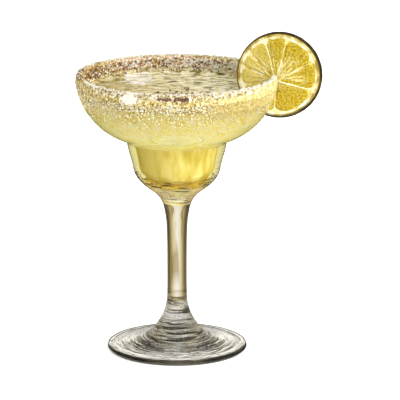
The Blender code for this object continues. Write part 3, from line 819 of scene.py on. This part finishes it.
def make_crust(material):
    """The caked layer that the crystals sit in, as an upside-down U over the lip with ragged edges."""
    top_z = GLASS_HEIGHT - LIP_RADIUS
    skin = SALT_GAP + SALT_CORE
    middle = bowl_arc(LIP_RADIUS, top_z, top_z - MM, 1)[0][0]
    outside = bowl_arc(-skin, top_z, GLASS_HEIGHT - SALT_OUTER_REACH, 14)
    inside = bowl_arc(RIM_WALL + skin, top_z, GLASS_HEIGHT - SALT_INNER_REACH, 12)
    arc = [(middle + (LIP_RADIUS + skin) * math.cos(a), top_z + (LIP_RADIUS + skin) * math.sin(a))
           for a in [math.pi * step / 8 for step in range(1, 8)]]
    line = outside[::-1] + arc + inside
    # Its hidden side lies inside the wall, so that no gap shows
    closed = line + [(inside[-1][0] + skin * 1.1, inside[-1][1] + 0.2 * MM)]
    closed += [(RIM_WALL * -0.35 + r, z) for r, z in bowl_arc(0, top_z, GLASS_HEIGHT - SALT_OUTER_REACH, 6)]
    shape = bmesh.new()
    rows = []
    for step in range(CRUST_STEPS + 1):
        angle = LIME_GAP_ANGLE + (2 * math.pi - 2 * LIME_GAP_ANGLE) * step / CRUST_STEPS
        row = []
        for number, (radius, height) in enumerate(closed):
            spot = Vector((math.cos(angle) * BOWL_RADIUS, math.sin(angle) * BOWL_RADIUS, height)) / MM
            swell = 0.0
            if number < len(line):
                swell = 0.22 * MM * noise.noise(spot * 0.9) + 0.12 * MM * noise.noise(spot * 2.3)
            ragged = 0.0
            if height < top_z - 3 * MM:
                ragged = 1.3 * MM * noise.noise(spot / 5) * (top_z - height) / (6 * MM)
            reach = radius + swell if radius > middle else radius - swell
            top = height + ragged + abs(swell) * 0.3
            row.append(shape.verts.new((reach * math.cos(angle), reach * math.sin(angle), top)))
        rows.append(row)
    count = len(closed)
    for near, far in zip(rows, rows[1:]):
        for number in range(count):
            after = (number + 1) % count
            shape.faces.new((near[number], far[number], far[after], near[after]))
    shape.faces.new(rows[0])
    shape.faces.new(rows[-1][::-1])
    crust = new_piece("salt_crust", smooth_mesh("salt_crust", shape), material)
    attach(crust, "root")
    return crust


def make_salt():
    """White salt on the lip, chilli-stained grains inside at the back, a mix outside, dust down the bowl."""
    draw = np.random.default_rng(SALT_SEED)
    white = salt("white_salt", [(0.3, "#efe6c4"), (0.6, "#fffef8")], 0.2)
    golden = salt("golden_salt", [(0.3, "#8a6014"), (0.6, "#cfab4c")], 0.1)
    brown = salt("brown_salt", [(0.3, "#2a1f16"), (0.6, "#8a6250")], 0.05)
    # Each grain of dust is about 0.6 mm, so the pattern is as fine as that
    fine = salt("fine_salt", [(0.38, "#967422"), (0.48, "#e6d685"), (0.58, "#fffdea")], 0.0, 1500.0)
    crust = make_crust(caked_salt())
    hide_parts("salt_rim")

    spots = []
    sizes = []
    warmths = []
    for outline, reach, fade, out in ((outer_face(), 10 * MM, 3.6 * MM, 0.5 * MM),
                                      (inner_face(), 7.6 * MM, 5 * MM, -0.95 * MM)):
        angles, radii, heights = on_wall(outline, draw, WALL_GRAINS, reach, fade)
        warmth = draw.uniform(0, 1, WALL_GRAINS)
        if out < 0:
            # Stained at the back, most of all on the left and in one patch at the back right
            near = 0.5 + 0.5 * np.cos(angles - STAIN_FROM)
            left = np.clip((-np.cos(angles) - 0.8) / 0.15, 0, 1)
            warmth += np.clip((near - 0.5) / 0.35, 0, 1) * 0.56 + left * 0.3
            warmth[(np.abs(angles - math.radians(68)) < math.radians(16)) & (warmth > 0.92)] += 0.5
        else:
            # Clean near the top in front, and warm in a band under it
            front = np.clip((np.cos(angles - math.radians(-95)) - 0.5) / 0.3, 0, 1)
            warmth += 0.42 - 0.15 * front * (heights > GLASS_HEIGHT - 3 * MM)
        crusted = heights > GLASS_HEIGHT - (SALT_INNER_REACH if out < 0 else SALT_OUTER_REACH)
        if out > 0:
            warmth[~crusted] = np.minimum(warmth[~crusted], 1.2)
        # Where there is no crust the grains stick to the glass
        radii = radii + np.where(crusted, out, math.copysign(0.15 * MM, out))
        spots.append(as_points(angles, radii, heights))
        sizes.append(draw.uniform(0.4, 1.0, WALL_GRAINS) ** 1.3 * (1.35 * MM if out < 0 else 1.15 * MM))
        warmths.append(warmth)
    # White on the lip, warm on the left and a little in front
    angles, radii, heights = over_lip(draw, LIP_GRAINS)
    left = np.clip((-np.cos(angles - math.radians(-8)) - 0.8) / 0.15, 0, 1)
    front = np.cos(angles + 1.66) > 0.7
    spots.append(as_points(angles, radii, heights))
    sizes.append(draw.uniform(0.4, 1.0, LIP_GRAINS) ** 1.3 * 1.15 * MM)
    warmths.append(draw.uniform(0, 1, LIP_GRAINS) * 1.02 + 0.6 * left + 0.15 * front)
    # Painted shade: a broken row of dark grains under the lip, where its shadow line falls
    angles = draw.uniform(LIP_SHADOW_ANGLES[0], LIP_SHADOW_ANGLES[1], LIP_SHADOW_GRAINS)
    heights = LIP_SHADOW_Z + draw.uniform(-0.5, 0.4, LIP_SHADOW_GRAINS) * MM
    spots.append(as_points(angles, np.full(LIP_SHADOW_GRAINS, BOWL_RADIUS + 0.95 * MM), heights))
    sizes.append(draw.uniform(1.1, 1.7, LIP_SHADOW_GRAINS) * MM)
    warmths.append(np.full(LIP_SHADOW_GRAINS, 2.0))
    # A few dark grains have fallen on the drink, near its middle
    fall = np.random.default_rng(SALT_SEED + 1)
    across = fall.normal(7 * MM, 8 * MM, FALLEN_GRAINS)
    along = fall.normal(-4 * MM, 5 * MM, FALLEN_GRAINS)
    spots.append(np.stack([across, along, np.full(FALLEN_GRAINS, DRINK_LEVEL + 0.25 * MM)], -1))
    sizes.append(fall.uniform(0.7, 1.3, FALLEN_GRAINS) * MM)
    warmths.append(np.full(FALLEN_GRAINS, 2.0))
    spots, sizes, warmths = (np.concatenate(group) for group in (spots, sizes, warmths))
    # Painted highlight: white salt grains at the front left, where the light is reflected
    front_highlight_reach = draw.normal(4.5, 1.0, len(spots)) * MM
    warmths[np.linalg.norm(spots - np.array(FRONT_HIGHLIGHT_CENTRE), axis=1) < front_highlight_reach] = 0
    around = np.arctan2(spots[:, 1], spots[:, 0])
    # Towards the lime the outside is nearly free of loose grains
    bare = (around > math.radians(-66)) & (around < 0) & (spots[:, 2] < GLASS_HEIGHT)
    bare &= np.hypot(spots[:, 0], spots[:, 1]) > BOWL_RADIUS - 2.3 * MM
    kept = clear_of_lime(around) & (~bare | (draw.uniform(0, 1, len(spots)) < 0.15))
    spots, sizes, warmths = spots[kept], sizes[kept], warmths[kept]
    for name, lowest, highest, material in (("white_crystals", -1, 1, white),
                                            ("golden_crystals", 1, 1.3, golden),
                                            ("brown_crystals", 1.3, 9, brown)):
        chosen = (warmths >= lowest) & (warmths < highest)
        crystals(name, spots[chosen], sizes[chosen], draw, material)

    # Dust is thickest just under the crust and gone halfway down the bowl. Inside it reaches to the drink
    angles, radii, heights = on_wall(outer_face(), draw, OUTER_DUST, 34 * MM, 4.5 * MM)
    kept = clear_of_lime(angles) & (heights < GLASS_HEIGHT - SALT_OUTER_REACH + 1.5 * MM)
    outside = as_points(angles, radii, heights)[kept]
    smooth_side = np.cos(angles[kept] - math.radians(-28)) > 0.75
    angles = draw.uniform(0, 2 * math.pi, INNER_DUST)
    heights = draw.uniform(DRINK_LEVEL + MENISCUS, GLASS_HEIGHT - SALT_INNER_REACH + MM, INNER_DUST)
    radii = np.array([radius_at(inner_face(), h) for h in heights])
    inside = as_points(angles, radii, heights)[clear_of_lime(angles)]
    places = np.concatenate([outside[~smooth_side], inside])
    crystals("salt_dust", places, draw.uniform(0.3, 0.95, len(places)) * MM, draw, fine)

    # Towards the lime it is one smooth pale coat down to the level of the drink
    angles = draw.uniform(math.radians(-72), math.radians(-5), COAT_DUST)
    heights = draw.uniform(COAT_HEIGHTS[0], COAT_HEIGHTS[1], COAT_DUST)
    radii = np.array([radius_at(outer_face(), h) for h in heights])
    coat = as_points(angles, radii, heights)[clear_of_lime(angles)]
    places = np.concatenate([outside[smooth_side], coat])
    pale = salt("pale_salt", [(0.36, "#a48a38"), (0.47, "#c6b262"), (0.6, "#efe3aa")], 0.0, 1500.0)
    crystals("pale_dust", places, draw.uniform(0.3, 0.8, len(places)) * MM, draw, pale)


# Studio

def make_stage():
    """A white floor that glows a little, as an overlit sweep does."""
    mesh = bpy.data.meshes.new("floor")
    reach = 6.0
    corners = [(-reach, -reach, 0), (reach, -reach, 0), (reach, reach, 0), (-reach, reach, 0)]
    mesh.from_pydata(corners, [], [(0, 1, 2, 3)])
    material, add, shader = new_shading("white_floor")
    place = add("TexCoord").outputs["Object"]
    grain = add("TexNoise", Vector=place, Scale=3.0)
    colour = add("ValToRGB", Fac=grain, stops=[(0.3, "#f4f4f4"), (0.7, "#f8f8f8")])
    plug(shader, Base_Color=colour, Roughness=1.0, Specular_IOR_Level=0.0, Emission_Color=(1, 1, 1, 1),
         Emission_Strength=0.6)
    new_piece("floor", mesh, material)


def make_tent():
    """Dark strips between white gaps, which give clear glass its edges.

    The camera and matt surfaces don't see them. Glass and gloss do."""
    mesh = bpy.data.meshes.new("tent")
    steps = 96
    verts = []
    for step in range(steps):
        angle = 2 * math.pi * step / steps
        verts += [(r * math.cos(angle), r * math.sin(angle), z) for r, z in ((0.046, 0.0006), (0.4, 0.5))]
    faces = [(2 * s, 2 * ((s + 1) % steps), 2 * ((s + 1) % steps) + 1, 2 * s + 1) for s in range(steps)]
    mesh.from_pydata(verts, [], faces)
    material, add, _ = new_shading("tent")
    material.node_tree.nodes.clear()
    place = add("TexCoord").outputs["Object"]
    split = add("SeparateXYZ", Vector=place)
    angle = add("Math", "ARCTAN2", n0=split.outputs["Y"], n1=split.outputs["X"])
    fourfold = add("Math", "MULTIPLY", n0=angle, n1=4.0)
    wave = add("Math", "COSINE", n0=fourfold)
    share = add("MapRange", Value=wave, n1=-1.0, n2=1.0)
    low = add("MapRange", Value=split.outputs["Z"], n1=1 * MM, n2=14 * MM, n3=0.85)
    share = add("Math", "MULTIPLY", n0=share, n1=low)
    colour = add("ValToRGB", Fac=share,
                 stops=[(0.0, "#443a26"), (0.35, "#8d7f60"), (0.7, "#d9ca9a"), (0.88, "#f8edcc"),
                        (1.0, "#ffffff")])
    # Reflections see level bands instead, dark just above the floor and again 70 to 104 mm up
    rise = add("MapRange", Value=split.outputs["Z"], n1=0.0, n2=0.2)
    edge = add("ValToRGB", Fac=rise,
               stops=[(0.03, "#2e261b"), (0.05, "#fff8e6"), (0.17, "#dccfa6"), (0.35, "#1a130b"),
                      (0.52, "#1a130b"), (1.0, "#f4ead0")])
    ways = add("LightPath").outputs
    colour = add("Mix", COLOURS, Factor=ways["Is Reflection Ray"], n6=colour, n7=edge)
    glow = add("Emission", Color=colour, Strength=1.0)
    # Light on its way to the drink passes, so the strips don't shade it
    lit = add("Math", "GREATER_THAN", n0=ways["Diffuse Depth"], n1=0.5)
    away = add("BsdfTransparent")
    mixed = add("MixShader", n0=lit, n1=glow, n2=away)
    add("OutputMaterial", Surface=mixed)
    tent = new_piece("tent", mesh, material)
    tent.visible_camera = False
    tent.visible_diffuse = False
    tent.visible_shadow = False


def make_lights():
    world = bpy.data.worlds.new("studio")
    bpy.context.scene.world = world
    world.use_nodes = True
    background = world.node_tree.nodes["Background"]
    # The studio is brighter on the right
    add = partial(add_node, world.node_tree)
    facing = add("TexCoord").outputs["Generated"]
    side = add("SeparateXYZ", Vector=facing).outputs["X"]
    level = add("MapRange", Value=side, n1=-0.8, n2=0.8, n3=0.46, n4=1.14)
    plug(background, Strength=level, Color=tone("#fffdf8"))
    sun = bpy.data.lights.new("key", "SUN")
    sun.energy = 2.1
    sun.angle = math.radians(50)
    sun.color = (1.0, 0.97, 0.9)
    key = bpy.data.objects.new("key", sun)
    key.rotation_euler = (math.radians(34), math.radians(44), 0)
    bpy.context.scene.collection.objects.link(key)


def make_camera():
    """The photo's view: level glass, seen from 14 degrees above with a long lens."""
    aim = Vector((13.6 * MM, 0, 90.2 * MM))
    rise = math.radians(14)
    distance = 2.2
    data = bpy.data.cameras.new("camera")
    data.lens = 335.6
    data.sensor_width = 36
    data.clip_end = 100
    camera = bpy.data.objects.new("camera", data)
    camera.location = aim + distance * Vector((0, -math.cos(rise), math.sin(rise)))
    camera.rotation_euler = (math.pi / 2 - rise, 0, 0)
    bpy.context.scene.collection.objects.link(camera)
    bpy.context.scene.camera = camera


def main():
    scene = bpy.context.scene
    scene.view_settings.view_transform = "Standard"
    # Light leaves a pale drink through its glass only after many turns
    scene.cycles.diffuse_bounces = 14
    scene.cycles.transmission_bounces = 20
    scene.cycles.max_bounces = 32
    make_stage()
    make_tent()
    make_lights()
    make_camera()
    make_glass()
    make_drink()
    make_wheel()
    make_salt()
    bpy.context.view_layer.update()


main()
